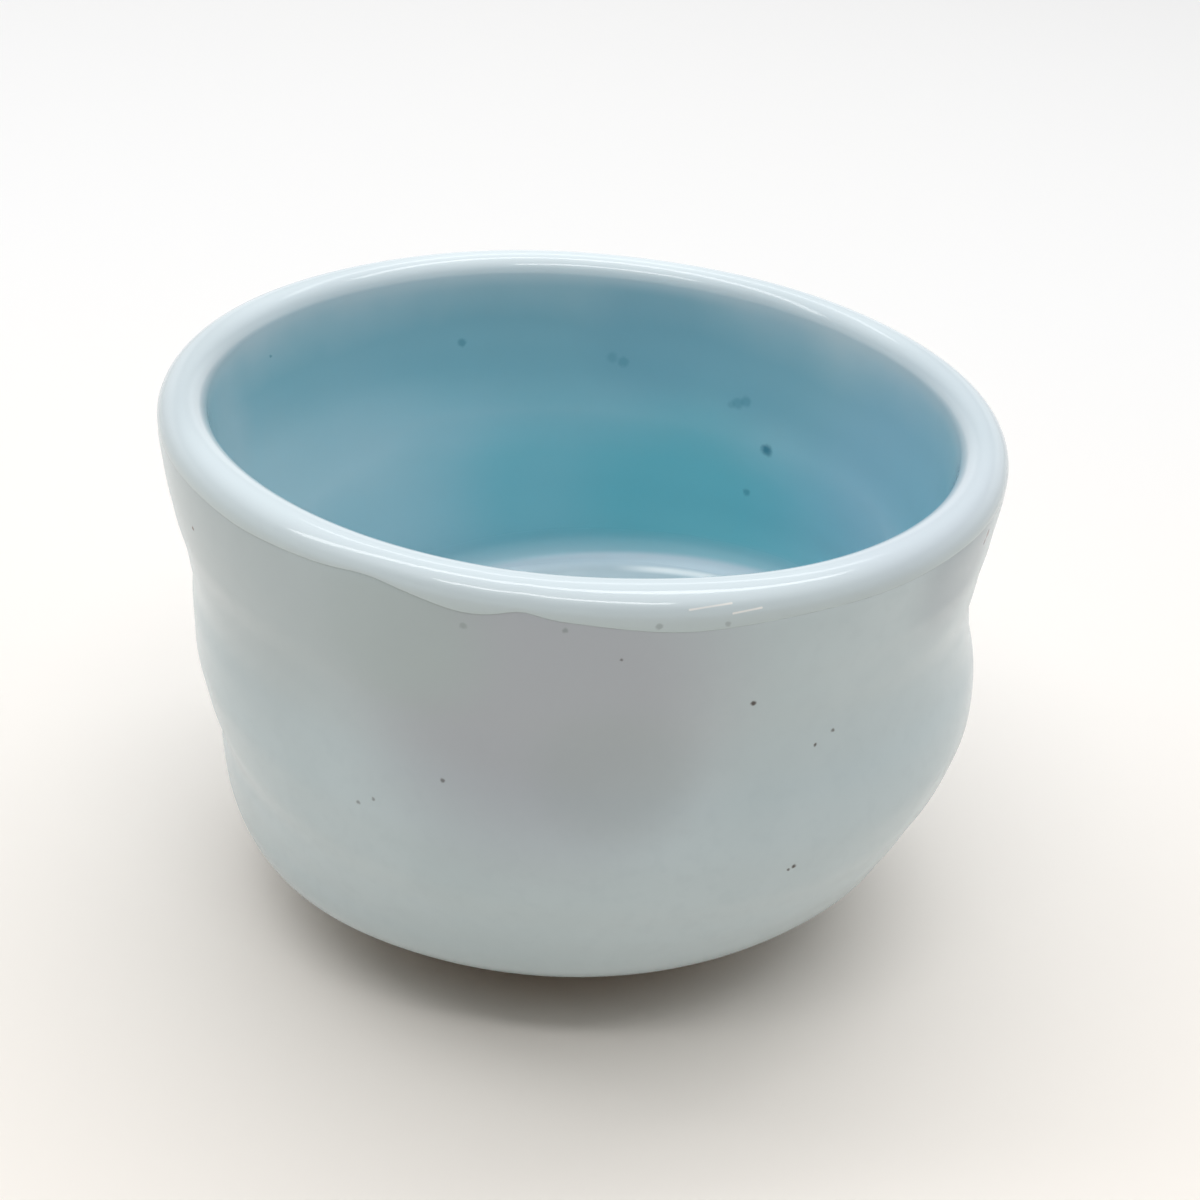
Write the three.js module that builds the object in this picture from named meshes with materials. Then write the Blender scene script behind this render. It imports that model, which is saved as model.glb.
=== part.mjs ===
// Hand-thrown tea bowl: a rolled lip over a waisted wall that swells into a belly, on a turned foot ring.
// One glaze coat covers the outside, and another lines the inside and rolls over the lip.
// Millimetres, +Z up. The origin is on the axis of the foot, on the plane that the bowl stands on.
import * as THREE from "three";

// Overall sizes
const HEIGHT = 81.5;
const LIP_RADIUS = 60;
const LIP_THICKNESS = 6.8;

// Outside of the wall: how far each part lies inside the lip, and its drop below the middle of the lip
const LAP_DROP = 3;
const NECK_DROP = 8;
const NECK_INSET = 0.8;
const WAIST_DROP = 21;
const WAIST_INSET = 2.9;
const BELLY_DROP = 35.5;
const BELLY_INSET = 1.6;
const HIP_INSET = 4.3;
const CORNER_INSET = 9.4;

// Turned underside: rises above the root and the seat of the foot ring
const CORNER_RISE = 9.4;
const UNDERSIDE_RISE = 3.5;

// Inside: the ridge behind the waist, the finished wall and the middle of the floor
const RIDGE_DROP = 28;
const RIDGE_WALL = 6.2;
const BELLY_WALL = 7;
const FLOOR_THICKNESS = 7.5;

// Dished floor, which rises from its middle to the wall, and the fillet that turns it into the wall
const DISH_RISE = 14.6;
const DISH_POWER = 2.1;
const FILLET_REACH = 2;
const FILLET_RISE = 2.5;

// Slope of the whole floor, which rises to the side that the belly leans to
const FLOOR_TILT = 0.1;

// Sideways drift of the wall, which leans out to one side at the belly
const SWAY = 3.1;
const SWAY_DROP = 41;
const SWAY_REACH = 17;

// Foot ring
const FOOT_RADIUS = 32;
const FOOT_HEIGHT = 7.2;
const FOOT_WIDTH = 5.5;
const FOOT_TAPER = 1.2;
const FOOT_EDGE = 1;

// Glaze coats, and the hairline left between each coat and what it meets
const GLAZE = 0.9;
const GLAZE_BOND = 0.05;
const GLAZE_EDGE_GAP = 0.3;

// Fineness of the facets
const SEGMENTS = 48;
const WALL_STEPS = 3;
const LIP_STEPS = 2;
const LIP_SPANS = 4;
const FILLET_SPANS = 2;
const DISH_SPANS = 3;
const FOOT_ARC_STEPS = 2;

// Levels and radii that follow from the sizes above
const LIP_ROLL = LIP_THICKNESS / 2;
const LIP_LEVEL = HEIGHT - LIP_ROLL;
const BELLY_LEVEL = LIP_LEVEL - BELLY_DROP;
const BELLY_RADIUS = LIP_RADIUS - BELLY_INSET;
const CORNER_LEVEL = FOOT_HEIGHT + CORNER_RISE;
const CORNER_RADIUS = LIP_RADIUS - CORNER_INSET;
const CLAY_INSET = GLAZE + GLAZE_BOND;
const ROOT_LEVEL = FOOT_HEIGHT - CLAY_INSET;
const FLOOR_LEVEL = ROOT_LEVEL + FLOOR_THICKNESS;

const clayMaterial = new THREE.MeshStandardMaterial({ color: 0x8c7459, roughness: 0.85, metalness: 0 });
const outerGlazeMaterial = new THREE.MeshStandardMaterial({ color: 0xb4c6cb, roughness: 0.15, metalness: 0 });
const linerGlazeMaterial = new THREE.MeshStandardMaterial({ color: 0x86b9c6, roughness: 0.12, metalness: 0 });

// Stations of the outside, from the root of the foot up to the lap where the two coats meet
function outsideStations() {
  const rootRadius = FOOT_RADIUS + GLAZE_EDGE_GAP;
  const lapInset = NECK_INSET * (LAP_DROP / NECK_DROP) ** 2;
  return [
    [rootRadius, ROOT_LEVEL],
    [(rootRadius + CORNER_RADIUS) / 2, ROOT_LEVEL + UNDERSIDE_RISE],
    [CORNER_RADIUS, CORNER_LEVEL],
    [LIP_RADIUS - HIP_INSET, (CORNER_LEVEL + BELLY_LEVEL) / 2],
    [BELLY_RADIUS, BELLY_LEVEL],
    [LIP_RADIUS - WAIST_INSET, LIP_LEVEL - WAIST_DROP],
    [LIP_RADIUS - NECK_INSET, LIP_LEVEL - NECK_DROP],
    [LIP_RADIUS - lapInset, LIP_LEVEL - LAP_DROP],
  ];
}

// Stations of the rolled lip, a half circle from the outside over the crest to the inside
function lipStations() {
  const stations = [];
  for (let step = 0; step <= LIP_SPANS; step += 1) {
    const angle = (step * Math.PI) / LIP_SPANS;
    const radius = LIP_RADIUS - LIP_ROLL + LIP_ROLL * Math.cos(angle);
    stations.push([radius, LIP_LEVEL + LIP_ROLL * Math.sin(angle)]);
  }
  return stations;
}

// Stations of the inside, down the wall, round the fillet and along the dished floor to its middle
function insideStations() {
  const wellRadius = BELLY_RADIUS - BELLY_WALL;
  const dishRadius = wellRadius - FILLET_REACH;
  const dish = (radius) => FLOOR_LEVEL + DISH_RISE * (radius / wellRadius) ** DISH_POWER;
  const stations = [[LIP_RADIUS - WAIST_INSET - RIDGE_WALL, LIP_LEVEL - RIDGE_DROP]];
  for (let step = 0; step <= FILLET_SPANS; step += 1) {
    const angle = (step * Math.PI) / 2 / FILLET_SPANS;
    const radius = dishRadius + FILLET_REACH * Math.cos(angle);
    stations.push([radius, dish(radius) + FILLET_RISE * (1 - Math.sin(angle))]);
  }
  for (let step = 1; step <= DISH_SPANS; step += 1) {
    const radius = dishRadius * (1 - step / DISH_SPANS);
    stations.push([radius, dish(radius)]);
  }
  return stations;
}

// Section of the finished bowl, as one smooth curve from the root of the foot to the middle of the floor.
// A last station, mirrored across the axis, keeps the middle of the floor level.
const outside = outsideStations();
const stations = [...outside, ...lipStations(), ...insideStations()];
const [mirroredRadius, mirroredLevel] = stations[stations.length - 2];
const section = new THREE.CatmullRomCurve3(
  [...stations, [-mirroredRadius, mirroredLevel]].map(([radius, level]) => new THREE.Vector3(radius, level, 0)),
  false,
  "centripetal",
);

// Samples along the section, with shorter steps on the small round of the lip
const samples = [];
for (let span = 0; span < stations.length - 1; span += 1) {
  const onLip = span >= outside.length && span < outside.length + LIP_SPANS;
  const steps = onLip ? LIP_STEPS : WALL_STEPS;
  for (let step = 0; step < steps; step += 1) {
    samples.push((span + step / steps) / stations.length);
  }
}
const LAST_SAMPLE = samples.length;
const LAP_SAMPLE = (outside.length - 1) * WALL_STEPS;
const INSIDE_SAMPLE = outside.length * WALL_STEPS + LIP_SPANS * LIP_STEPS;

// Point of the section at a sample, set back into the wall by an inset
function sectionPoint(sample, inset) {
  if (sample === LAST_SAMPLE) {
    return new THREE.Vector2(0, FLOOR_LEVEL - inset);
  }
  if (sample === 0) {
    return new THREE.Vector2(FOOT_RADIUS + GLAZE_EDGE_GAP, ROOT_LEVEL + inset);
  }
  const point = section.getPoint(samples[sample]);
  const tangent = section.getTangent(samples[sample]);
  return new THREE.Vector2(point.x - inset * tangent.y, point.y + inset * tangent.x);
}

// Run of the section between two samples, set back by an inset, with the points of the inside marked
function layer(first, last, inset) {
  const points = [];
  for (let sample = first; sample <= last; sample += 1) {
    const point = sectionPoint(sample, inset);
    point.inside = sample >= INSIDE_SAMPLE;
    points.push(point);
  }
  return points;
}

// Closed profile of a glaze coat between two samples, with its first edge lifted clear of what it meets
function coatProfile(first, last, edgeLift) {
  const face = layer(first, last, 0);
  const back = layer(first, last, GLAZE).reverse();
  face[0].y += edgeLift;
  back[back.length - 1].y += edgeLift;
  return [...face, ...back, face[0].clone()];
}

function clayProfile() {
  return [new THREE.Vector2(0, FOOT_HEIGHT), ...layer(0, LAST_SAMPLE, CLAY_INSET)];
}

// Foot ring: flat resting face with eased edges, sides that taper to the root, flat seat on top
function footProfile() {
  const outer = FOOT_RADIUS - FOOT_TAPER;
  const inner = outer - FOOT_WIDTH;
  const ring = new THREE.Path();
  ring.moveTo(inner + FOOT_EDGE, 0);
  ring.lineTo(outer - FOOT_EDGE, 0);
  ring.absarc(outer - FOOT_EDGE, FOOT_EDGE, FOOT_EDGE, -Math.PI / 2, 0, false);
  ring.lineTo(FOOT_RADIUS, FOOT_HEIGHT);
  ring.lineTo(inner - FOOT_TAPER, FOOT_HEIGHT);
  ring.absarc(inner + FOOT_EDGE, FOOT_EDGE, FOOT_EDGE, Math.PI, Math.PI * 1.5, false);
  return ring.getPoints(FOOT_ARC_STEPS);
}

// Sideways drift of the wall at a level
function sway(level) {
  const away = (level - (LIP_LEVEL - SWAY_DROP)) / SWAY_REACH;
  return SWAY * Math.exp(-away * away);
}

// Rise of the inside at a distance to one side, in full on the floor and fading out up the wall
function floorTilt(side, level) {
  const ridgeLevel = LIP_LEVEL - RIDGE_DROP;
  const fade = ridgeLevel - FLOOR_LEVEL - DISH_RISE;
  return FLOOR_TILT * side * THREE.MathUtils.smoothstep(ridgeLevel - level, 0, fade);
}

// Turns a profile on the axis, then lets every level drift sideways by its sway and tilts the inside floor
function turned(name, profile, material) {
  const geometry = new THREE.LatheGeometry(profile, SEGMENTS);
  geometry.rotateX(Math.PI / 2);
  const position = geometry.attributes.position;
  for (let index = 0; index < position.count; index += 1) {
    const side = position.getX(index);
    const level = position.getZ(index);
    const rise = profile[index % profile.length].inside ? floorTilt(side, level) : 0;
    position.setX(index, side + sway(level));
    position.setZ(index, level + rise);
  }
  geometry.computeVertexNormals();
  const mesh = new THREE.Mesh(geometry, material);
  mesh.name = name;
  return mesh;
}

const bowl = new THREE.Group();
bowl.add(turned("clay_body", clayProfile(), clayMaterial));
bowl.add(turned("foot_ring", footProfile(), clayMaterial));
bowl.add(turned("outer_glaze", coatProfile(0, LAP_SAMPLE, 0), outerGlazeMaterial));
bowl.add(turned("liner_glaze", coatProfile(LAP_SAMPLE, LAST_SAMPLE, GLAZE_BOND), linerGlazeMaterial));

export default bowl;
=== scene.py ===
"""Looks of a hand-thrown tea bowl: glaze coats, clay and foot as fine meshes, in soft light."""
import math

import bpy
import numpy as np
from mathutils import Matrix, Vector


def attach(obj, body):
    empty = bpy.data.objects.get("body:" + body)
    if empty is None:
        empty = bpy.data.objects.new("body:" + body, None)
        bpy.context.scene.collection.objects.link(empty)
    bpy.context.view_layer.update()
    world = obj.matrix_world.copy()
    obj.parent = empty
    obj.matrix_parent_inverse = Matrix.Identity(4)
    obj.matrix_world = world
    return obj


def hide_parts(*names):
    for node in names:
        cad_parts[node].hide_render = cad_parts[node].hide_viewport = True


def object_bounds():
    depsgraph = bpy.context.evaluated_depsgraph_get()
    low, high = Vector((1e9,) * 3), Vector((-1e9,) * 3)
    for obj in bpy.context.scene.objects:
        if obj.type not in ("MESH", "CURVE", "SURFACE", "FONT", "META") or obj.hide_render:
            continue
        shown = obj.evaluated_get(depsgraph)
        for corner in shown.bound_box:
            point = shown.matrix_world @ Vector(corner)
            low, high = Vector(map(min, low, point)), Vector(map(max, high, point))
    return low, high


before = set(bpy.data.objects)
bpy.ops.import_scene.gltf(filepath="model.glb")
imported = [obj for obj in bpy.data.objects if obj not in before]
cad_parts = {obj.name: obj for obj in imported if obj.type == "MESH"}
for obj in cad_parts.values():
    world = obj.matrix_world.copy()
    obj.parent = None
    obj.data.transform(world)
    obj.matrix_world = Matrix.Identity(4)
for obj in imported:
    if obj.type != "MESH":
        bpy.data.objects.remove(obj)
cad_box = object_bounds()

# Driving sizes of the bowl, in millimetres, as in the solids
MM = 0.001
HEIGHT = cad_box[1].z / MM
LIP_RADIUS = 60.0
LIP_THICKNESS = 6.8
NECK_DROP, NECK_INSET = 8.0, 0.8
WAIST_DROP, WAIST_INSET = 21.0, 2.9
BELLY_DROP, BELLY_INSET = 35.5, 1.6
HIP_INSET = 4.3
CORNER_RISE, CORNER_INSET = 9.4, 9.4
UNDERSIDE_RISE = 3.5
RIDGE_DROP, RIDGE_WALL = 28.0, 6.2
BELLY_WALL = 7.0
FLOOR_THICKNESS = 7.5
DISH_RISE, DISH_POWER = 14.6, 2.1
FILLET_REACH, FILLET_RISE = 2.0, 2.5
FLOOR_TILT = 0.1
SWAY, SWAY_DROP, SWAY_REACH = 3.1, 41.0, 17.0
FOOT_RADIUS, FOOT_HEIGHT, FOOT_WIDTH, FOOT_TAPER, FOOT_EDGE = 32.0, 7.2, 5.5, 1.2, 1.0
GLAZE, GLAZE_BOND, GLAZE_EDGE_GAP = 0.9, 0.05, 0.3

# Levels and radii that follow from the sizes above
LIP_ROLL = LIP_THICKNESS / 2
LIP_LEVEL = HEIGHT - LIP_ROLL
BELLY_LEVEL = LIP_LEVEL - BELLY_DROP
BELLY_RADIUS = LIP_RADIUS - BELLY_INSET
CORNER_LEVEL = FOOT_HEIGHT + CORNER_RISE
CORNER_RADIUS = LIP_RADIUS - CORNER_INSET
CLAY_INSET = GLAZE + GLAZE_BOND
ROOT_LEVEL = FOOT_HEIGHT - CLAY_INSET
ROOT_RADIUS = FOOT_RADIUS + GLAZE_EDGE_GAP
FLOOR_LEVEL = ROOT_LEVEL + FLOOR_THICKNESS

# Throwing spirals outside and inside, and the levels over which they fade in and out
THROW_PITCH, THROW_DEPTH = 7.5, 0.05
FINGER_PITCH, FINGER_DEPTH = 11.0, 0.04
THROW_LOW = (CORNER_LEVEL - 4, CORNER_LEVEL + 8)
THROW_HIGH = (LIP_LEVEL - 12, LIP_LEVEL - 4)
# Rise and fall of the lip: height, levels over which it sets in, and its waves as count, share and phase
LIP_WAVE = 0.16
LIP_WAVE_LEVELS = (LIP_LEVEL - 20, LIP_LEVEL)
LIP_WAVES = ((2, 1.0, 0.4), (3, 0.6, 2.1), (7, 0.25, 1.0))
# The lip stands fuller at one place: azimuth in degrees, rise, reach round, and runs of its start and end
LIP_FULL_AT, LIP_FULL_RISE, LIP_FULL_REACH = -77.0, 0.55, 18.0
LIP_FULL_START, LIP_FULL_END = (-1.5, 2.5), (4.0, 14.0)
# Soft dents and swells: azimuth in degrees, level, height (negative goes in), reach round and reach up
SWELLS = (
    (-150, 13.5, 0.9, 34, 6.0),
    (-24, 14.0, 1.2, 24, 6.0),
    (-72, 14.0, -0.45, 24, 7.0),
    (-8, 60.0, 0.45, 40, 8.0),
    (-164, 31.0, -0.85, 24, 4.5),
    (-130, 16.0, 0.7, 18, 6.0),
    (-45, 16.0, -0.55, 18, 6.0),
    (-90, 52.0, -0.3, 12, 7.0),
    (-95, 50.0, -0.55, 40, 7.0),
    (-100, 34.0, 0.65, 45, 7.0),
)
# Share of a dent or swell that shows inside, and the radii over which all unevenness sets in
SWELL_INSIDE = 0.5
SWELL_RADII = (8.0, 30.0)
# Lap of the liner over the outer coat: mean drop, waviness, step, width of its rounded edge, and its waves
LAP_DROP, LAP_WAVE, LAP_STEP, LAP_EDGE = 0.1, 0.14, 0.2, 0.7
LAP_WAVES = ((3, 1.0, 1.2), (8, 0.6, 0.3), (17, 0.35, 0.0))
# Distance from the lap at which its step has levelled out, and at which its rows end
LAP_SETTLE, LAP_REACH = 6.0, 9.0
# Runs and gaps of the lap that the photo shows: azimuth in degrees, drop (negative goes up) and reach round
LAP_RUNS = ((-134, 0.3, 8), (-114, -0.85, 5), (-102, 0.8, 4.5), (-95.5, -0.65, 2.5), (-78, 1.0, 9))
# The step shows most where the coat ran thick, at this azimuth and within this reach, and fades elsewhere
LAP_THICK_AT, LAP_THICK_REACH, LAP_FAINT = -112.0, 32.0, 0.2
# Turned recess inside the foot: depth, depth and pitch of its grooves, and the radii over which it ends
RECESS_DEPTH, RECESS_GROOVE, RECESS_PITCH = 0.3, 0.05, 2.6
RECESS_EDGE = (20.0, 24.0)
# Turning grooves on the sides of the foot
FOOT_GROOVE, FOOT_GROOVE_PITCH = 0.06, 1.3

# Fineness of the meshes
COLUMNS = 360
AZIMUTHS = np.linspace(0, 2 * math.pi, COLUMNS, endpoint=False)
SPAN_STEPS = 48
LIP_SPANS = 8
FILLET_SPANS = 8
DISH_SPANS = 10
# Rows along each mesh as shares of its run, closer at rounded edges. The last lies short of the middle.
LAST_ROW = 0.985
OUTER_ROWS = np.concatenate([
    np.linspace(0, 0.02, 14),
    np.linspace(0.025, 0.98, 240),
    np.linspace(0.985, 1, 12),
])
OUTER_BACK_ROWS = np.linspace(1, 0, 40)[1:-1]
LINER_EDGE_ROWS = np.concatenate([np.linspace(0, LAP_EDGE, 10), np.linspace(LAP_EDGE, LAP_REACH, 50)[1:]])
LINER_ROWS = np.concatenate([np.linspace(0, 0.25, 90)[1:], np.linspace(0.25, LAST_ROW, 230)[1:]])
LINER_BACK_ROWS = np.linspace(LAST_ROW, 0, 60)
CLAY_ROWS = np.linspace(0.004, LAST_ROW, 220)
RECESS_RADII = np.linspace(0.4, ROOT_RADIUS, 90)
FOOT_FACE_POINTS, FOOT_SIDE_POINTS, FOOT_SEAT_POINTS, FOOT_EDGE_POINTS = 12, 24, 4, 10


# Section of the bowl

def catmull_rom(stations, steps):
    """Centripetal curve through the stations, as points with the given steps between two stations."""
    points = np.asarray(stations, float)
    ends = np.vstack([2 * points[0] - points[1], points, 2 * points[-1] - points[-2]])
    curve = []
    for before, start, end, after in zip(ends, ends[1:], ends[2:], ends[3:]):
        gap0, gap1, gap2 = (
            math.sqrt(np.linalg.norm(b - a)) for a, b in ((before, start), (start, end), (end, after))
        )
        leave = ((start - before) / gap0 - (end - before) / (gap0 + gap1) + (end - start) / gap1) * gap1
        arrive = ((end - start) / gap1 - (after - start) / (gap1 + gap2) + (after - end) / gap2) * gap1
        t = (np.arange(steps) / steps)[:, None]
        cubic = 2 * start - 2 * end + leave + arrive
        square = -3 * start + 3 * end - 2 * leave - arrive
        curve.append(start + leave * t + square * t ** 2 + cubic * t ** 3)
    return np.vstack(curve + [points[-1:]])


def section_stations():
    """Stations from the root of the foot, up the outside, over the lip and down to the floor's middle."""
    stations = [
        (ROOT_RADIUS, ROOT_LEVEL),
        ((ROOT_RADIUS + CORNER_RADIUS) / 2, ROOT_LEVEL + UNDERSIDE_RISE),
        (CORNER_RADIUS, CORNER_LEVEL),
        (LIP_RADIUS - HIP_INSET, (CORNER_LEVEL + BELLY_LEVEL) / 2),
        (BELLY_RADIUS, BELLY_LEVEL),
        (LIP_RADIUS - WAIST_INSET, LIP_LEVEL - WAIST_DROP),
        (LIP_RADIUS - NECK_INSET, LIP_LEVEL - NECK_DROP),
    ]
    for angle in np.linspace(0, math.pi, LIP_SPANS + 1):
        radius = LIP_RADIUS - LIP_ROLL + LIP_ROLL * math.cos(angle)
        stations.append((radius, LIP_LEVEL + LIP_ROLL * math.sin(angle)))
    stations.append((LIP_RADIUS - WAIST_INSET - RIDGE_WALL, LIP_LEVEL - RIDGE_DROP))
    well_radius = BELLY_RADIUS - BELLY_WALL
    dish_radius = well_radius - FILLET_REACH

    def dish(radius):
        return FLOOR_LEVEL + DISH_RISE * (radius / well_radius) ** DISH_POWER

    for angle in np.linspace(0, math.pi / 2, FILLET_SPANS + 1):
        radius = dish_radius + FILLET_REACH * math.cos(angle)
        stations.append((radius, dish(radius) + FILLET_RISE * (1 - math.sin(angle))))
    for share in np.linspace(1, 0, DISH_SPANS + 1)[1:]:
        stations.append((dish_radius * share, dish(dish_radius * share)))
    return stations


# The run is the length along the section from the crest of the lip, negative outside and positive inside
section = catmull_rom(section_stations(), SPAN_STEPS)
section[-1] = (0.0, FLOOR_LEVEL)
crest = int(np.argmax(section[:, 1]))
run_along = np.concatenate([[0.0], np.cumsum(np.linalg.norm(np.diff(section, axis=0), axis=1))])
run_along -= run_along[crest]
tangents = np.gradient(section, run_along, axis=0)
tangents /= np.linalg.norm(tangents, axis=1)[:, None]
tangents[-1] = (-1.0, 0.0)
normals = np.stack([tangents[:, 1], -tangents[:, 0]], axis=1)
ROOT_RUN, FLOOR_RUN = run_along[0], run_along[-1]


def outside_run(level):
    """Run of a level on the outside."""
    return np.interp(level, section[: crest + 1, 1], run_along[: crest + 1])


def inside_run(level):
    """Run of a level on the inside."""
    return np.interp(-np.asarray(level), -section[crest:, 1], run_along[crest:])


# Form of the whole bowl

def smooth(value, low, high):
    """Smooth step from 0 at low to 1 at high."""
    t = np.clip((value - low) / (high - low), 0.0, 1.0)
    return t * t * (3 - 2 * t)


def waves(azimuth, terms):
    """Sum of sine waves round the bowl, each given as its count in a turn, its share and its phase."""
    return sum(share * np.sin(count * azimuth + phase) for count, share, phase in terms)


def hump(azimuth, at, reach):
    """Smooth hump of height 1 round the bowl, at a place and with a reach in degrees."""
    turn = (np.degrees(azimuth) - at + 180) % 360 - 180
    return np.exp(-((turn / reach) ** 2))


def sway(level):
    """Sideways drift of the wall at a level."""
    return SWAY * np.exp(-(((level - (LIP_LEVEL - SWAY_DROP)) / SWAY_REACH) ** 2))


def swell(azimuth, level, inside):
    """Radial unevenness of the thrown wall."""
    out = np.zeros_like(level)
    for at, height, rise, reach_round, reach_up in SWELLS:
        out = out + rise * hump(azimuth, at, reach_round) * np.exp(-(((level - height) / reach_up) ** 2))
    wall = smooth(level, *THROW_LOW) * (1 - smooth(level, *THROW_HIGH))
    spiral_out = THROW_DEPTH * np.sin(2 * math.pi * level / THROW_PITCH + azimuth)
    spiral_in = FINGER_DEPTH * np.sin(2 * math.pi * level / FINGER_PITCH - azimuth)
    return out * np.where(inside, SWELL_INSIDE, 1.0) + wall * np.where(inside, spiral_in, spiral_out)


def floor_tilt(run, radius, azimuth, level):
    """Rise of the inside floor towards one side, which fades out up the wall."""
    ridge_level = LIP_LEVEL - RIDGE_DROP
    settled = smooth(level, ridge_level, FLOOR_LEVEL + DISH_RISE) * (run > 0)
    return FLOOR_TILT * radius * np.cos(azimuth) * settled


def lip_wave(azimuth, level):
    """Rise and fall of the hand-finished lip."""
    return LIP_WAVE * waves(azimuth, LIP_WAVES) * smooth(level, *LIP_WAVE_LEVELS)


def lip_fullness(run, azimuth):
    """Rise of the inner half of the lip where it was left fuller."""
    share = smooth(run, *LIP_FULL_START) * (1 - smooth(run, *LIP_FULL_END))
    return LIP_FULL_RISE * share * hump(azimuth, LIP_FULL_AT, LIP_FULL_REACH)


def surface(run, azimuth, lift):
    """Points in metres on the bowl at a run and azimuth, lifted off the finished surface."""
    radius = np.interp(run, run_along, section[:, 0]) + lift * np.interp(run, run_along, normals[:, 0])
    level = np.interp(run, run_along, section[:, 1]) + lift * np.interp(run, run_along, normals[:, 1])
    uneven = swell(azimuth, level, run > 0) * smooth(radius, *SWELL_RADII)
    x = (radius + uneven) * np.cos(azimuth) + sway(level)
    y = (radius + uneven) * np.sin(azimuth)
    tilt = floor_tilt(run, radius, azimuth, level)
    z = level + lip_wave(azimuth, level) + lip_fullness(run, azimuth) + tilt
    return np.stack([x, y, z], axis=-1) * MM


def surface_point(azimuth, level, run_of):
    """One point in metres on the finished surface, at an azimuth in degrees and a level."""
    run = np.array([run_of(level)], float)
    return tuple(surface(run, np.array([math.radians(azimuth)]), np.zeros(1))[0])


# Meshes

def ring(run, lift):
    """One row of points round the bowl. Run and lift may vary with the azimuth."""
    runs = np.broadcast_to(np.asarray(run, float), AZIMUTHS.shape)
    lifts = np.broadcast_to(np.asarray(lift, float), AZIMUTHS.shape)
    return surface(runs, AZIMUTHS, lifts), runs


def turned_row(radius, level):
    """One row of points under the bowl, at a radius and a level that may vary with the azimuth."""
    radii = np.broadcast_to(radius, AZIMUTHS.shape)
    levels = np.broadcast_to(level, AZIMUTHS.shape)
    x = radii * np.cos(AZIMUTHS) + sway(levels)
    points = np.stack([x, radii * np.sin(AZIMUTHS), levels], axis=-1) * MM
    return points, np.full(COLUMNS, ROOT_RUN)


def pole(lift):
    """A single point on the axis, in the middle of the floor."""
    return np.array([[sway(FLOOR_LEVEL) * MM, 0.0, (FLOOR_LEVEL + lift) * MM]]), np.array([FLOOR_RUN])


def row_faces(first, second):
    """Faces between two rows, each given as its first vertex and its count."""
    (a, a_count), (b, b_count) = first, second
    if a_count == 1 and b_count == 1:
        return []
    faces = []
    for i in range(COLUMNS):
        j = (i + 1) % COLUMNS
        if a_count == 1:
            faces.append((a, b + j, b + i))
        elif b_count == 1:
            faces.append((a + i, a + j, b))
        else:
            faces.append((a + i, a + j, b + j, b + i))
    return faces


def shell(name, rows, closed=True):
    """Mesh object through rows of points that carry their run. Closed joins the last row to the first."""
    starts, total = [], 0
    for points, _ in rows:
        starts.append((total, len(points)))
        total += len(points)
    faces = []
    for first, second in zip(starts, starts[1:]):
        faces += row_faces(first, second)
    if closed:
        faces += row_faces(starts[-1], starts[0])
    mesh = bpy.data.meshes.new(name)
    mesh.from_pydata(np.vstack([points for points, _ in rows]).tolist(), [], faces)
    runs = mesh.attributes.new("run", "FLOAT", "POINT")
    runs.data.foreach_set("value", np.concatenate([run for _, run in rows]).astype(np.float32))
    mesh.polygons.foreach_set("use_smooth", [True] * len(mesh.polygons))
    mesh.validate()
    piece = bpy.data.objects.new(name, mesh)
    bpy.context.scene.collection.objects.link(piece)
    return piece


def quarter_round(distance, thickness):
    """Lift of a coat at a distance from its rounded edge."""
    inward = np.clip(thickness - distance, 0.0, thickness)
    return np.sqrt(np.maximum(thickness ** 2 - inward ** 2, 0.0)) - thickness


def lap_step():
    """Step of the liner's edge above the outer coat, for every azimuth."""
    thick = hump(AZIMUTHS, LAP_THICK_AT, LAP_THICK_REACH)
    return LAP_STEP * (LAP_FAINT + (1 - LAP_FAINT) * thick)


def lap_run():
    """Run of the wavy edge where the liner laps over the outer coat, for every azimuth."""
    level = LIP_LEVEL - LAP_DROP + LAP_WAVE * waves(AZIMUTHS, LAP_WAVES)
    for at, drop, reach in LAP_RUNS:
        level = level - drop * hump(AZIMUTHS, at, reach)
    return outside_run(level)


def outer_coat():
    """Glaze on the outside, from a rounded roll at the foot to its end under the lap of the liner."""
    top = lap_run() + LAP_EDGE
    rows = []
    for share in OUTER_ROWS:
        run = ROOT_RUN + share * (top - ROOT_RUN)
        lift = quarter_round(run - ROOT_RUN, GLAZE) + quarter_round(top - run, GLAZE)
        rows.append(ring(run, lift))
    for share in OUTER_BACK_ROWS:
        rows.append(ring(ROOT_RUN + share * (top - ROOT_RUN), -GLAZE))
    return shell("outer_coat", rows)


def liner_coat():
    """Glaze inside and over the lip, lapping onto the outer coat."""
    start = lap_run()
    rows = []
    for distance in LINER_EDGE_ROWS:
        bead = lap_step() * math.sqrt(1 - (1 - min(distance / LAP_EDGE, 1)) ** 2)
        rows.append(ring(start + distance, bead * (1 - smooth(distance, LAP_EDGE, LAP_SETTLE))))
    inner_start = start + LAP_REACH
    for share in LINER_ROWS:
        rows.append(ring(inner_start + share * (FLOOR_RUN - inner_start), 0.0))
    rows.append(pole(0.0))
    rows.append(pole(-GLAZE))
    back_start = start + 2 * LAP_EDGE
    for share in LINER_BACK_ROWS:
        rows.append(ring(back_start + share * (FLOOR_RUN - back_start), -GLAZE))
    return shell("liner_coat", rows)


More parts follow.
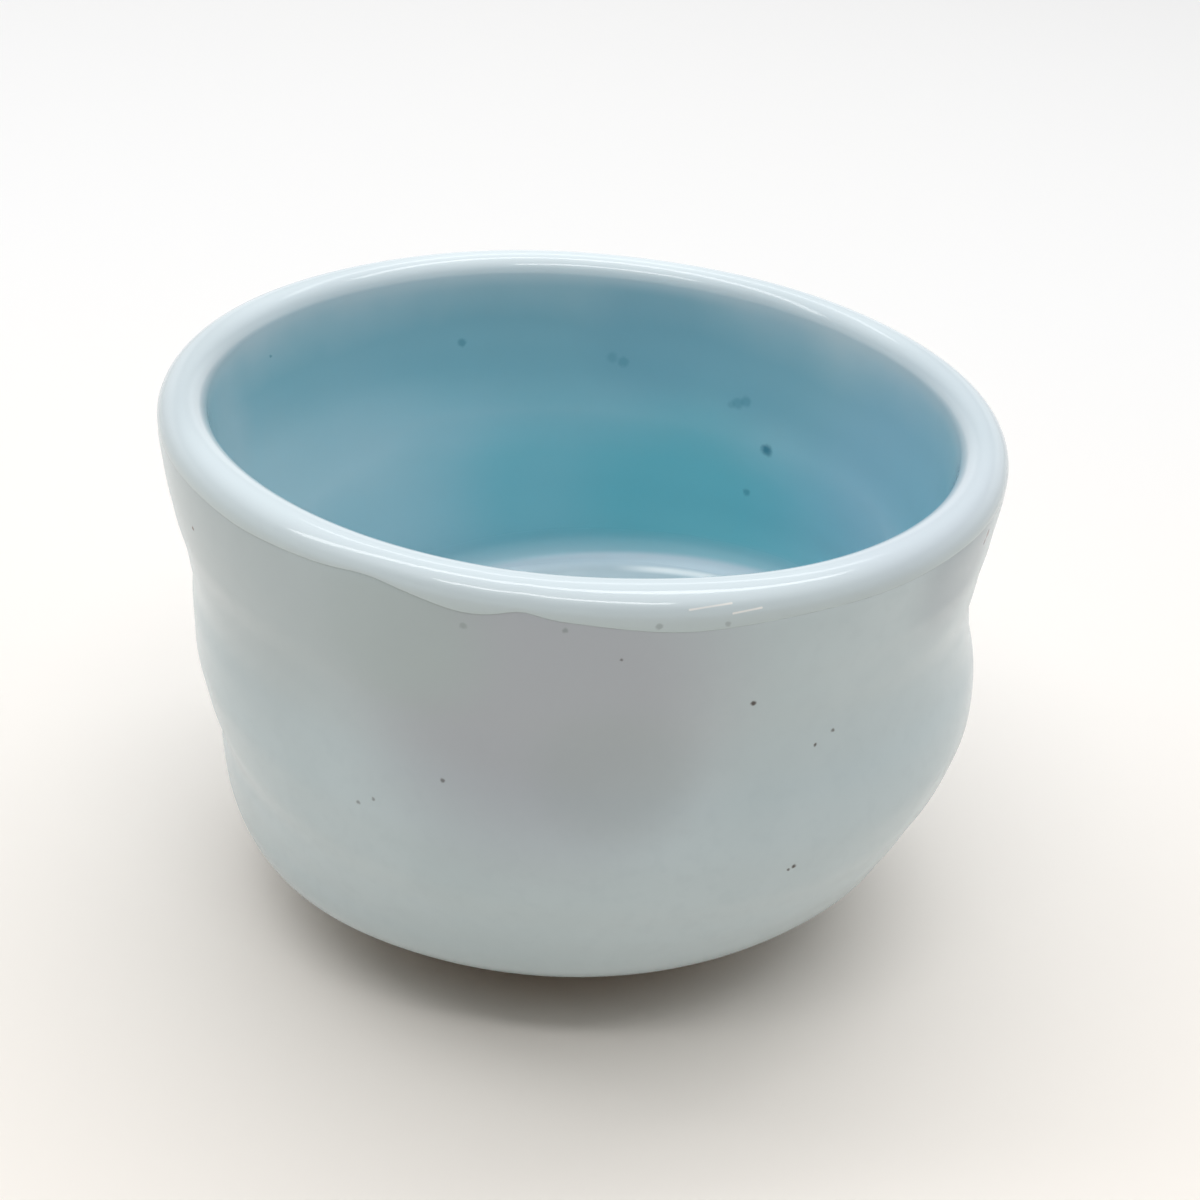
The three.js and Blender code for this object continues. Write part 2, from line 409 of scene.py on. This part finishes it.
def clay_vessel():
    """Clay under the coats, with the turned recess inside the foot ring left open to view."""
    middle = (FOOT_HEIGHT + RECESS_DEPTH + RECESS_GROOVE) * MM
    rows = [(np.array([[0.0, 0.0, middle]]), np.array([ROOT_RUN]))]
    for radius in RECESS_RADII:
        groove = RECESS_GROOVE * np.sin(2 * math.pi * radius / RECESS_PITCH + AZIMUTHS)
        depth = (RECESS_DEPTH + groove) * (1 - smooth(radius, *RECESS_EDGE))
        rows.append(turned_row(radius, FOOT_HEIGHT + depth))
    for share in CLAY_ROWS:
        rows.append(ring(ROOT_RUN + share * (FLOOR_RUN - ROOT_RUN), -CLAY_INSET))
    rows.append(pole(-CLAY_INSET))
    return shell("clay_vessel", rows, closed=False)


def straight(start, end, count):
    """Points on a straight line between two points."""
    (start_radius, start_level), (end_radius, end_level) = start, end
    radii = np.linspace(start_radius, end_radius, count)
    levels = np.linspace(start_level, end_level, count)
    return list(zip(radii, levels))


def eased_edge(middle, start, end):
    """Points on the eased lower edge of the foot, round a middle and between two angles."""
    angles = np.linspace(start, end, FOOT_EDGE_POINTS)
    return [(middle + FOOT_EDGE * math.cos(a), FOOT_EDGE + FOOT_EDGE * math.sin(a)) for a in angles]


def foot_outline():
    """Outline of the foot ring with eased edges, as radius and level, going round once."""
    outer = FOOT_RADIUS - FOOT_TAPER
    inner = outer - FOOT_WIDTH
    seat_outer = (FOOT_RADIUS, FOOT_HEIGHT)
    seat_inner = (inner - FOOT_TAPER, FOOT_HEIGHT)
    points = straight((inner + FOOT_EDGE, 0.0), (outer - FOOT_EDGE, 0.0), FOOT_FACE_POINTS)
    points += eased_edge(outer - FOOT_EDGE, -math.pi / 2, 0)[1:]
    points += straight((outer, FOOT_EDGE), seat_outer, FOOT_SIDE_POINTS)[1:]
    points += straight(seat_outer, seat_inner, FOOT_SEAT_POINTS)[1:]
    points += straight(seat_inner, (inner, FOOT_EDGE), FOOT_SIDE_POINTS)[1:]
    points += eased_edge(inner + FOOT_EDGE, math.pi, 1.5 * math.pi)[1:-1]
    return points


def turned_foot():
    """Bare foot ring with faint turning grooves on its sides."""
    rows = []
    for radius, level in foot_outline():
        wave = np.sin(2 * math.pi * level / FOOT_GROOVE_PITCH + AZIMUTHS)
        groove = FOOT_GROOVE * wave if FOOT_EDGE < level < FOOT_HEIGHT else 0.0
        rows.append(turned_row(radius + groove, level))
    return shell("turned_foot", rows)


# Materials

def srgb(red, green, blue):
    """Linear colour of an sRGB colour given in 0 to 255."""
    def linear(value):
        share = value / 255
        return share / 12.92 if share <= 0.04045 else ((share + 0.055) / 1.055) ** 2.4
    return linear(red), linear(green), linear(blue), 1.0


# Sockets of a mix node that carry colours. Its other sockets have the same names.
MIX_FIRST, MIX_SECOND, MIX_RESULT = 6, 7, 2
# Specks, pools and patches of painted light and shade: share of the radius that is tinted in full, and the
# wobble of their edges in metres
SPECK_CORE = 0.35
SPECK_NOISE, SPECK_WOBBLE = (900.0, 2.0), 0.0007
# Strokes, which lay the painted glints: share of the width that is tinted in full, and their strength
STROKE_CORE, STROKE_STRENGTH = 0.3, 0.85


class Nodes:
    """Short hand for building a node tree that works on one kind of coordinates."""

    def __init__(self, tree, coordinates):
        self.tree = tree
        self.coordinates = self.add("ShaderNodeTexCoord").outputs[coordinates]

    def add(self, kind, **settings):
        node = self.tree.nodes.new(kind)
        for key, value in settings.items():
            setattr(node, key, value)
        return node

    def put(self, socket, value):
        """Links a socket to another one, or gives it a constant."""
        if isinstance(value, bpy.types.NodeSocket):
            self.tree.links.new(value, socket)
        else:
            socket.default_value = value

    def axis(self, letter):
        """Part of the coordinates along one axis."""
        node = self.add("ShaderNodeSeparateXYZ")
        self.put(node.inputs["Vector"], self.coordinates)
        return node.outputs[letter]

    def math(self, operation, first, second):
        node = self.add("ShaderNodeMath", operation=operation)
        self.put(node.inputs[0], first)
        self.put(node.inputs[1], second)
        return node.outputs["Value"]

    def vector(self, operation, output, *values):
        """Vector operation on sockets or constants, given in the order of its inputs."""
        node = self.add("ShaderNodeVectorMath", operation=operation)
        for socket, value in zip(node.inputs, values):
            self.put(socket, value)
        return node.outputs[output]

    def remap(self, value, low, high, to_low=0.0, to_high=1.0, kind="SMOOTHSTEP"):
        """Takes the values from low to high into another range, and holds them at its ends."""
        node = self.add("ShaderNodeMapRange", interpolation_type=kind)
        keys = ("Value", "From Min", "From Max", "To Min", "To Max")
        for key, number in zip(keys, (value, low, high, to_low, to_high)):
            self.put(node.inputs[key], number)
        return node.outputs["Result"]

    def mix(self, share, first, second):
        """Mix of two colours with a share of the second."""
        node = self.add("ShaderNodeMix", data_type="RGBA")
        self.put(node.inputs["Factor"], share)
        self.put(node.inputs[MIX_FIRST], first)
        self.put(node.inputs[MIX_SECOND], second)
        return node.outputs[MIX_RESULT]

    def ramp(self, value, stops):
        """Colour ramp through stops of a position and a colour, in the order of their positions."""
        node = self.add("ShaderNodeValToRGB")
        self.put(node.inputs["Fac"], value)
        elements = node.color_ramp.elements
        first, *between, last = stops
        for element, (position, colour) in zip(elements, (first, last)):
            element.position = position
            element.color = colour
        for position, colour in between:
            elements.new(position).color = colour
        return node.outputs["Color"]


class Finish(Nodes):
    """Node tree of one material."""

    def __init__(self, name):
        self.material = bpy.data.materials.new(name)
        self.material.use_nodes = True
        super().__init__(self.material.node_tree, "Object")
        self.shader = self.tree.nodes["Principled BSDF"]

    def noise(self, scale, detail, roughness=0.5, output="Fac"):
        """Noise in space, with its scale for a metre."""
        node = self.add("ShaderNodeTexNoise")
        self.put(node.inputs["Vector"], self.coordinates)
        self.put(node.inputs["Scale"], scale)
        self.put(node.inputs["Detail"], detail)
        self.put(node.inputs["Roughness"], roughness)
        return node.outputs[output]

    def run(self):
        """Run along the section, which the meshes carry."""
        return self.add("ShaderNodeAttribute", attribute_name="run").outputs["Fac"]

    def bump(self, height, strength, distance):
        """Fine unevenness of the surface, with its depth in metres."""
        node = self.add("ShaderNodeBump")
        self.put(node.inputs["Height"], height)
        self.put(node.inputs["Strength"], strength)
        self.put(node.inputs["Distance"], distance)
        self.put(self.shader.inputs["Normal"], node.outputs["Normal"])

    def stroke(self, colour, start, end, width, tint):
        """Lays a tint along a straight stroke between two points in metres."""
        way = Vector(end) - Vector(start)
        offset = self.vector("SUBTRACT", "Vector", self.coordinates, start)
        along = self.vector("DOT_PRODUCT", "Value", offset, tuple(way.normalized()))
        reach = self.math("MINIMUM", self.math("MAXIMUM", along, 0.0), way.length)
        nearest = self.add("ShaderNodeVectorMath", operation="SCALE")
        self.put(nearest.inputs[0], tuple(way.normalized()))
        self.put(nearest.inputs["Scale"], reach)
        gap = self.vector("DISTANCE", "Value", offset, nearest.outputs["Vector"])
        share = self.remap(gap, width * STROKE_CORE, width, STROKE_STRENGTH, 0.0)
        return self.mix(share, colour, tint)

    def specks(self, colour, spots):
        """Tints the colour at spots, each a point in metres, a radius in metres, a tint and a strength."""
        noise = self.noise(*SPECK_NOISE, output="Color")
        swing = (SPECK_WOBBLE,) * 3
        wobbly = self.vector("MULTIPLY_ADD", "Vector", noise, swing, self.coordinates)
        for point, radius, tint, strength in spots:
            gap = self.vector("DISTANCE", "Value", wobbly, tuple(c + SPECK_WOBBLE / 2 for c in point))
            share = self.remap(gap, radius * SPECK_CORE, radius, strength, 0.0)
            colour = self.mix(share, colour, tint)
        return colour


IRON = srgb(62, 50, 44)
BLUE_SPECK = srgb(30, 122, 146)
SMOKE = srgb(120, 132, 134)
RUST = srgb(96, 60, 46)
# Specks in the glaze: azimuth in degrees, level, radius in millimetres, tint and strength
OUTER_SPECKS = (
    (-66.8, 64.7, 0.55, IRON, 0.95),
    (-56.6, 55.4, 0.42, IRON, 0.85),
    (-53.7, 56.8, 0.4, IRON, 0.7),
    (-60.5, 38.0, 0.5, IRON, 0.95),
    (-61.3, 37.7, 0.35, IRON, 0.8),
    (-106.4, 50.5, 0.45, IRON, 0.65),
    (-116.4, 44.9, 0.4, IRON, 0.5),
    (-118.8, 43.5, 0.4, IRON, 0.5),
    (-147.2, 71.1, 0.45, RUST, 0.8),
    (-102.0, 75.4, 0.6, SMOKE, 0.35),
    (-90.5, 76.8, 0.5, SMOKE, 0.5),
    (-84.0, 73.0, 0.35, IRON, 0.75),
    (-25.0, 76.2, 0.9, RUST, 0.85),
    (-25.6, 75.2, 0.7, RUST, 0.7),
    (40.0, 50.0, 0.5, IRON, 0.8),
    (75.0, 30.0, 0.4, IRON, 0.8),
    (120.0, 62.0, 0.5, IRON, 0.7),
    (160.0, 40.0, 0.4, IRON, 0.8),
)
LINER_SPECKS = (
    (54.4, 54.8, 1.5, BLUE_SPECK, 0.7),
    (54.6, 54.9, 0.7, BLUE_SPECK, 0.4),
    (59.4, 62.1, 1.3, BLUE_SPECK, 0.28),
    (61.0, 61.4, 1.4, BLUE_SPECK, 0.28),
    (62.4, 60.9, 1.0, BLUE_SPECK, 0.2),
    (59.2, 45.3, 1.0, BLUE_SPECK, 0.45),
    (84.0, 64.6, 1.3, BLUE_SPECK, 0.25),
    (86.2, 65.2, 1.3, BLUE_SPECK, 0.2),
    (114.7, 67.5, 1.0, BLUE_SPECK, 0.4),
    (157.8, 74.0, 0.4, BLUE_SPECK, 0.5),
    (-60.0, 52.0, 0.5, BLUE_SPECK, 0.6),
)
# Smudges at the lap, given in the same way
LAP_SPECKS = (
    (-80.0, 78.0, 0.55, SMOKE, 0.4),
    (-72.0, 78.0, 0.5, SMOKE, 0.35),
)
# Places where the liner has pooled deeper or lies thinner, and darker patches just under the back of the
# lip that are painted shade, given in the same way
LINER_POOLS_AND_SHADE = (
    (72.0, 38.0, 27.0, srgb(112, 198, 208), 0.75),
    (98.0, 41.0, 23.0, srgb(124, 200, 210), 0.45),
    (44.0, 41.0, 20.0, srgb(122, 198, 212), 0.5),
    (172.0, 50.0, 26.0, srgb(206, 220, 226), 0.45),
    (180.0, 66.0, 15.0, srgb(196, 215, 222), 0.6),
    # painted shade: darker patches just under the back of the lip
    (78.0, 71.0, 17.0, srgb(138, 187, 203), 0.5),
    (56.0, 71.0, 15.0, srgb(140, 190, 206), 0.4),
    (150.0, 38.0, 38.0, srgb(193, 216, 224), 0.75),
    (15.0, 55.0, 36.0, srgb(168, 204, 224), 0.6),
)
# Painted light and shade on the lip: a paler stretch at the back and greyer ones round the other sides,
# given in the same way
LIP_LIGHT_AND_SHADE = (
    (98.0, 81.4, 40.0, srgb(228, 239, 243), 0.8),
    (8.0, 81.4, 30.0, srgb(200, 213, 220), 0.7),
    (-34.0, 81.4, 30.0, srgb(204, 214, 223), 0.5),
    (184.0, 81.4, 30.0, srgb(196, 208, 213), 0.6),
)
# Painted shade in the outer coat: greyer patches on the front that faces the viewer and just under the lip,
# given in the same way
OUTER_PAINTED_SHADE = (
    (-94.0, 67.0, 34.0, srgb(182, 189, 196), 0.97),
    (-84.0, 55.0, 14.0, srgb(174, 186, 188), 0.45),
    (-111.0, 72.0, 17.0, srgb(180, 196, 196), 0.7),
    (-136.0, 70.0, 28.0, srgb(184, 197, 200), 0.8),
    (-33.0, 75.0, 14.0, srgb(170, 183, 190), 0.75),
)
# Painted glints on the lip: pale strokes that stand for light caught in two scratches, each with its two
# ends as azimuth in degrees and level, and their width
LIP_GLINTS = (
    ((-76.6, 79.85), (-71.6, 80.25)),
    ((-71.5, 79.2), (-68.0, 79.5)),
)
GLINT_TONE, GLINT_WIDTH = srgb(255, 253, 248), 0.2

# Tones of the lip and just under it, and the runs over which they turn into each other and the inside
LIP_TONE, UNDER_LIP_TONE = srgb(214, 226, 231), srgb(195, 210, 212)
LIP_FADE, LIP_BAND = (-7.0, -1.5), (3.0, 7.0)
# Noises are given as scale for a metre, detail and roughness, spans as the values of a noise that are used.
# Tones of the outer coat, its fine breath, its low part and its thin end over the clay
OUTER_TONES = (srgb(195, 211, 215), srgb(202, 217, 221))
OUTER_NOISE, OUTER_SPAN = (28.0, 4.0), (0.32, 0.68)
BREATH_NOISE, BREATH_SPAN = (420.0, 2.0), (0.45, 0.75)
BREATH_TONE, BREATH_SHARE = srgb(190, 206, 211), 0.25
LOW_TONE, LOW_SHARE = srgb(174, 188, 190), 0.5
LOW_RUN = (ROOT_RUN + 15, ROOT_RUN + 36)
THIN_TONE, THIN_SHARE = srgb(150, 138, 120), 0.9
THIN_RUN = (ROOT_RUN + 2, ROOT_RUN + 15)
# Tones of the liner by its run in units of RAMP_RUN, and the drift of their borders. The darker band just
# under the lip inside is painted shade.
RAMP_RUN, RAMP_DRIFT = 100.0, 2.5
RAMP_NOISE, RAMP_SPAN = (35.0, 3.0), (0.2, 0.8)
LINER_STOPS = (
    (0.0, LIP_TONE),
    (0.03, LIP_TONE),
    (0.08, srgb(178, 209, 218)),
    # painted shade: darker band just under the lip inside
    (0.13, srgb(152, 197, 209)),
    (0.2, srgb(154, 201, 213)),
    (0.28, srgb(170, 212, 223)),
    (0.33, srgb(168, 212, 223)),
    (0.365, srgb(156, 207, 218)),
    (0.5, srgb(157, 206, 217)),
    (1.0, srgb(172, 213, 223)),
)
# Pale edge of the floor by its run, partly a paler glaze and partly a painted reflection of the lamp
# overhead, with a painted sheen up the wall above it. It leans by this many millimetres for a metre
# sideways
DISH_LEAN = 43.0
SHEEN_RUN, SHEEN_SHARE = (51.0, 55.5), 0.38
DISH_PALE_AND_SHEEN_EDGE, DISH_PALE_AND_SHEEN_SHARE, DISH_PALE_AND_SHEEN_TONE = (55.4, 56.7), 0.97, srgb(211, 225, 234)
SHALLOW_EDGE, SHALLOW_TONE = (57.4, 59.8), srgb(180, 198, 206)
# Painted reflection: a pale line where a lamp glints on the floor, with runs of its start and end, and
# where it sets in sideways, in metres
GLINT_LINE_START, GLINT_LINE_END, GLINT_LINE_SIDE = (58.3, 59.1), (59.3, 60.3), (0.006, 0.015)
GLINT_LINE_TONE = srgb(250, 252, 253)
# Deeper pool in the middle of the floor: runs over which it sets in, and the drift of its border
POOL_RUN, POOL_DRIFT = (63.0, 76.0), 4.0
POOL_NOISE, POOL_SPAN = (48.0, 4.0), (0.25, 0.75)
# Gloss of the glaze, and what is added outside, where the wall turns into the floor, and on the floor
GLAZE_IOR, GLAZE_ROUGHNESS = 1.5, (0.05, 0.1)
GLOSS_NOISE, GLOSS_SPAN = (55.0, 3.0), (0.3, 0.7)
OUTER_SOFT, TURN_SOFT, FLOOR_SOFT = 0.14, 0.3, 0.06
TURN_SOFT_RUN, FLOOR_SOFT_RUN = (48.0, 53.0), (56.5, 58.5)
# Fine unevenness of the liner and of the bare clay: strength and depth in metres
PEEL_BUMP, CLAY_BUMP = (0.08, 0.0002), (0.35, 0.0002)
PEEL_NOISE = (170.0, 2.0)
FINE_PEEL_NOISE, FINE_PEEL_SHARE = (900.0, 1.0), 0.12
# Tones of the clay, of its grain and of the dark dots in it
CLAY_TONES = (srgb(132, 108, 82), srgb(148, 124, 96))
CLAY_NOISE, CLAY_SPAN = (60.0, 4.0), (0.3, 0.7)
GRAIN_NOISE = (1600.0, 5.0, 0.7)
GRAIN_TONE, GRAIN_SPAN, GRAIN_SHARE = srgb(106, 82, 58), (0.55, 0.75), 0.5
DOT_TONE, DOT_SCALE, DOT_SPAN, DOT_SHARE = srgb(74, 54, 40), 420.0, (0.05, 0.16), 0.7
CLAY_ROUGHNESS, ROUGHNESS_SPAN = (0.72, 0.92), (0.3, 0.7)


def spots(specks, run_of):
    """Specks with their places as points on the finished surface and their radii in metres."""
    return [(surface_point(at, level, run_of), radius * MM, *rest) for at, level, radius, *rest in specks]


def glaze_finish(nodes, softer):
    """Glassy surface, unevenly smooth as a fired coat is, and softer by a number or a socket."""
    nodes.put(nodes.shader.inputs["IOR"], GLAZE_IOR)
    roughness = nodes.remap(nodes.noise(*GLOSS_NOISE), *GLOSS_SPAN, *GLAZE_ROUGHNESS)
    nodes.put(nodes.shader.inputs["Roughness"], nodes.math("ADD", roughness, softer))


def outer_glaze():
    """Milky glaze of the outside, with painted shade in greyer patches, and with specks."""
    nodes = Finish("outer_glaze")
    run = nodes.run()
    colour = nodes.mix(nodes.remap(nodes.noise(*OUTER_NOISE), *OUTER_SPAN), *OUTER_TONES)
    breath = nodes.remap(nodes.noise(*BREATH_NOISE), *BREATH_SPAN, 0.0, BREATH_SHARE)
    colour = nodes.mix(breath, colour, BREATH_TONE)
    colour = nodes.mix(nodes.remap(run, *LIP_FADE), colour, LIP_TONE)
    colour = nodes.mix(nodes.remap(run, *LOW_RUN, LOW_SHARE, 0.0), colour, LOW_TONE)
    colour = nodes.mix(nodes.remap(run, *THIN_RUN, THIN_SHARE, 0.0), colour, THIN_TONE)
    # painted shade on the front and under the lip is laid here with the specks
    colour = nodes.specks(colour, spots(OUTER_PAINTED_SHADE + OUTER_SPECKS + LAP_SPECKS, outside_run))
    nodes.put(nodes.shader.inputs["Base Color"], colour)
    glaze_finish(nodes, OUTER_SOFT)
    return nodes.material


def floor_edge(nodes, run, colour):
    """Lays the pale edge of the floor, partly paler glaze and partly painted reflection, a painted sheen up
    the wall and a painted glint line over the colour of the liner.
    """
    side = nodes.axis("X")
    leaning = nodes.math("ADD", run, nodes.math("MULTIPLY", side, DISH_LEAN))
    # painted reflection of the lamp overhead: sheen up the wall and the pale edge of the floor
    painted_sheen = nodes.remap(leaning, *SHEEN_RUN, 0.0, SHEEN_SHARE)
    edge = nodes.remap(leaning, *DISH_PALE_AND_SHEEN_EDGE, 0.0, DISH_PALE_AND_SHEEN_SHARE - SHEEN_SHARE)
    tone = nodes.mix(nodes.remap(leaning, *SHALLOW_EDGE), DISH_PALE_AND_SHEEN_TONE, SHALLOW_TONE)
    # painted reflection of a lamp as a pale line on the floor
    glint_band = nodes.math("SUBTRACT", nodes.remap(leaning, *GLINT_LINE_START), nodes.remap(leaning, *GLINT_LINE_END))
    tone = nodes.mix(nodes.math("MULTIPLY", glint_band, nodes.remap(side, *GLINT_LINE_SIDE)), tone, GLINT_LINE_TONE)
    drift = nodes.remap(nodes.noise(*POOL_NOISE), *POOL_SPAN, -POOL_DRIFT, POOL_DRIFT)
    pool = nodes.remap(nodes.math("ADD", run, drift), *POOL_RUN)
    return nodes.mix(nodes.math("SUBTRACT", nodes.math("ADD", painted_sheen, edge), pool), colour, tone)


def liner_glaze():
    """Glaze of the inside and the lip, milky on the lip and pooling to a deeper blue-green inside, with
    painted light and shade on the lip and under it, a painted reflection at the edge of the floor and
    painted glints on the lip.
    """
    nodes = Finish("liner_glaze")
    run = nodes.run()
    drift = nodes.remap(nodes.noise(*RAMP_NOISE), *RAMP_SPAN, -RAMP_DRIFT, RAMP_DRIFT)
    depth = nodes.remap(nodes.math("ADD", run, drift), 0.0, RAMP_RUN, kind="LINEAR")
    # pools of the liner, and painted shade under the back of the lip
    colour = nodes.specks(nodes.ramp(depth, LINER_STOPS), spots(LINER_POOLS_AND_SHADE, inside_run))
    # painted light and shade on the lip
    lip = nodes.specks(LIP_TONE, spots(LIP_LIGHT_AND_SHADE, inside_run))
    colour = nodes.mix(nodes.remap(run, *LIP_BAND), lip, colour)
    colour = nodes.mix(nodes.remap(run, *LIP_FADE), UNDER_LIP_TONE, colour)
    colour = floor_edge(nodes, run, colour)
    colour = nodes.specks(colour, spots(LINER_SPECKS, inside_run))
    colour = nodes.specks(colour, spots(LAP_SPECKS, outside_run))
    # painted glints: pale strokes on the lip that stand for highlights
    for ends in LIP_GLINTS:
        start, end = (surface_point(azimuth, level, outside_run) for azimuth, level in ends)
        colour = nodes.stroke(colour, start, end, GLINT_WIDTH * MM, GLINT_TONE)
    nodes.put(nodes.shader.inputs["Base Color"], colour)
    soft_turn = nodes.remap(run, *TURN_SOFT_RUN, 0.0, TURN_SOFT)
    soft_floor = nodes.remap(run, *FLOOR_SOFT_RUN, 0.0, TURN_SOFT - FLOOR_SOFT)
    glaze_finish(nodes, nodes.math("SUBTRACT", soft_turn, soft_floor))
    fine = nodes.math("MULTIPLY", nodes.noise(*FINE_PEEL_NOISE), FINE_PEEL_SHARE)
    nodes.bump(nodes.math("ADD", nodes.noise(*PEEL_NOISE), fine), *PEEL_BUMP)
    return nodes.material


def bare_clay():
    """Unglazed brown stoneware with a fine grain and dark dots."""
    nodes = Finish("bare_clay")
    grain = nodes.noise(*GRAIN_NOISE)
    colour = nodes.mix(nodes.remap(nodes.noise(*CLAY_NOISE), *CLAY_SPAN), *CLAY_TONES)
    colour = nodes.mix(nodes.remap(grain, *GRAIN_SPAN, 0.0, GRAIN_SHARE), colour, GRAIN_TONE)
    dots = nodes.add("ShaderNodeTexVoronoi")
    nodes.put(dots.inputs["Vector"], nodes.coordinates)
    nodes.put(dots.inputs["Scale"], DOT_SCALE)
    dotted = nodes.remap(dots.outputs["Distance"], *DOT_SPAN, DOT_SHARE, 0.0)
    colour = nodes.mix(dotted, colour, DOT_TONE)
    nodes.put(nodes.shader.inputs["Base Color"], colour)
    nodes.put(nodes.shader.inputs["Roughness"], nodes.remap(grain, *ROUGHNESS_SPAN, *CLAY_ROUGHNESS))
    nodes.bump(grain, *CLAY_BUMP)
    return nodes.material


# Pieces

def place(piece, material, node):
    """Gives a piece its finish, its body and the solid that it stands for."""
    piece.data.materials.append(material)
    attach(piece, "root")
    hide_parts(node)


clay = bare_clay()
place(outer_coat(), outer_glaze(), "outer_glaze")
place(liner_coat(), liner_glaze(), "liner_glaze")
place(clay_vessel(), clay, "clay_body")
place(turned_foot(), clay, "foot_ring")


# Stage, light and camera

# Floor: half its side in metres, its tones near and far, and where they change
FLOOR_HALF = 3.0
FLOOR_NEAR = srgb(247, 240, 232)
FLOOR_FAR = srgb(245, 244, 243)
FLOOR_CHANGE = (-0.15, 0.3)
FLOOR_ROUGHNESS = 0.6
# Brightness of the white room by the sine of the elevation, and its highest value on the ramp
ROOM_LIGHT = ((0.0, 0.14), (0.35, 0.38), (0.6, 0.84), (0.8, 1.13), (0.95, 1.15), (1.0, 1.15))
ROOM_PEAK = 2.0
ROOM_TONE = srgb(253, 254, 255)
# Where the viewer shades the room in front: sines towards the back, and of the elevation
SHADE_FRONT, SHADE_LOW = (-0.75, -0.15), (0.6, 0.9)
# Plain pale backdrop that is seen past the floor, and the sines of elevation over which it ends
BACKDROP = 0.9
BACKDROP_TOP = (0.25, 0.45)
# Lamps: name, place in metres, tilt and turn in degrees, width and depth in metres, radiance
LAMPS = (
    ("ceiling_strip", (-0.26, 0.14, 1.08), 0, 12, 1.9, 0.15, 4.3),
    ("front_strip", (-0.05, -0.52, 1.02), 29, 0, 0.85, 0.12, 6.0),
    ("back_strip", (0.05, 0.80, 1.0), -40, 0, 0.9, 0.12, 2.0),
)
# Camera, fitted to the lip and the outline: distance from the lip in millimetres, angles in degrees
CAMERA_DISTANCE = 273.65
CAMERA_ELEVATION = 24.0
CAMERA_PITCH, CAMERA_YAW, CAMERA_ROLL = 29.66, 0.976, 4.93
SENSOR_WIDTH = 36.0
LENS = 57.0
NEAR_CLIP = 0.01


def pale_floor():
    """Plain pale floor that the bowl stands on."""
    nodes = Finish("pale_floor")
    far = nodes.remap(nodes.axis("Y"), *FLOOR_CHANGE)
    nodes.put(nodes.shader.inputs["Base Color"], nodes.mix(far, FLOOR_NEAR, FLOOR_FAR))
    nodes.put(nodes.shader.inputs["Roughness"], FLOOR_ROUGHNESS)
    mesh = bpy.data.meshes.new("floor")
    corners = [(x * FLOOR_HALF, y * FLOOR_HALF, 0) for x, y in ((-1, -1), (1, -1), (1, 1), (-1, 1))]
    mesh.from_pydata(corners, [], [(0, 1, 2, 3)])
    mesh.materials.append(nodes.material)
    floor = bpy.data.objects.new("floor", mesh)
    bpy.context.scene.collection.objects.link(floor)


def white_room():
    """White surroundings, brightest overhead and shaded low in front, with a pale backdrop."""
    world = bpy.data.worlds.new("white_room")
    bpy.context.scene.world = world
    world.use_nodes = True
    nodes = Nodes(world.node_tree, "Generated")
    back, up = nodes.axis("Y"), nodes.axis("Z")
    room = nodes.ramp(up, [(at, (light / ROOM_PEAK,) * 3 + (1.0,)) for at, light in ROOM_LIGHT])
    front = nodes.remap(back, *SHADE_FRONT, 1.0, 0.0)
    low = nodes.remap(up, *SHADE_LOW, 1.0, 0.0)
    open_share = nodes.math("SUBTRACT", 1.0, nodes.math("MULTIPLY", front, low))
    strength = nodes.math("MULTIPLY", nodes.math("MULTIPLY", room, ROOM_PEAK), open_share)
    path = nodes.add("ShaderNodeLightPath").outputs
    mirrored = nodes.math("MAXIMUM", path["Is Glossy Ray"], path["Is Transmission Ray"])
    seen = nodes.math("MAXIMUM", path["Is Camera Ray"], mirrored)
    backdrop = nodes.remap(up, *BACKDROP_TOP, BACKDROP, 0.0)
    strength = nodes.math("MAXIMUM", strength, nodes.math("MULTIPLY", seen, backdrop))
    background = world.node_tree.nodes["Background"]
    nodes.put(background.inputs["Color"], ROOM_TONE)
    nodes.put(background.inputs["Strength"], strength)


def lamp_panel(name, place_at, tilt, turn, width, depth, radiance):
    """Rectangular lamp that faces down, tilted towards the back and turned about the upright axis."""
    light = bpy.data.lights.new(name, "AREA")
    light.shape = "RECTANGLE"
    light.size, light.size_y = width, depth
    light.energy = math.pi * width * depth * radiance
    lamp = bpy.data.objects.new(name, light)
    lamp.location = place_at
    lamp.rotation_euler = (math.radians(tilt), 0, math.radians(turn))
    bpy.context.scene.collection.objects.link(lamp)


def photo_camera():
    """Camera at the photograph's place, turned and rolled as it was held."""
    pitch, yaw, roll = (math.radians(a) for a in (CAMERA_PITCH, CAMERA_YAW, CAMERA_ROLL))
    rise = math.radians(CAMERA_ELEVATION)
    back, above = CAMERA_DISTANCE * math.cos(rise), CAMERA_DISTANCE * math.sin(rise)
    eye = Vector((0, -back, LIP_LEVEL + above)) * MM
    ahead = Vector((math.sin(yaw) * math.cos(pitch), math.cos(yaw) * math.cos(pitch), -math.sin(pitch)))
    level_right = Vector((math.cos(yaw), -math.sin(yaw), 0))
    level_down = ahead.cross(level_right)
    right = level_right * math.cos(roll) - level_down * math.sin(roll)
    up = -(level_right * math.sin(roll) + level_down * math.cos(roll))
    matrix = Matrix((right, up, -ahead)).transposed().to_4x4()
    matrix.translation = eye
    data = bpy.data.cameras.new("photo_camera")
    data.sensor_width = SENSOR_WIDTH
    data.lens = LENS
    data.clip_start = NEAR_CLIP
    camera = bpy.data.objects.new("photo_camera", data)
    camera.matrix_world = matrix
    bpy.context.scene.collection.objects.link(camera)
    bpy.context.scene.camera = camera


pale_floor()
white_room()
for lamp_values in LAMPS:
    lamp_panel(*lamp_values)
photo_camera()
bpy.context.scene.view_settings.view_transform = "Standard"
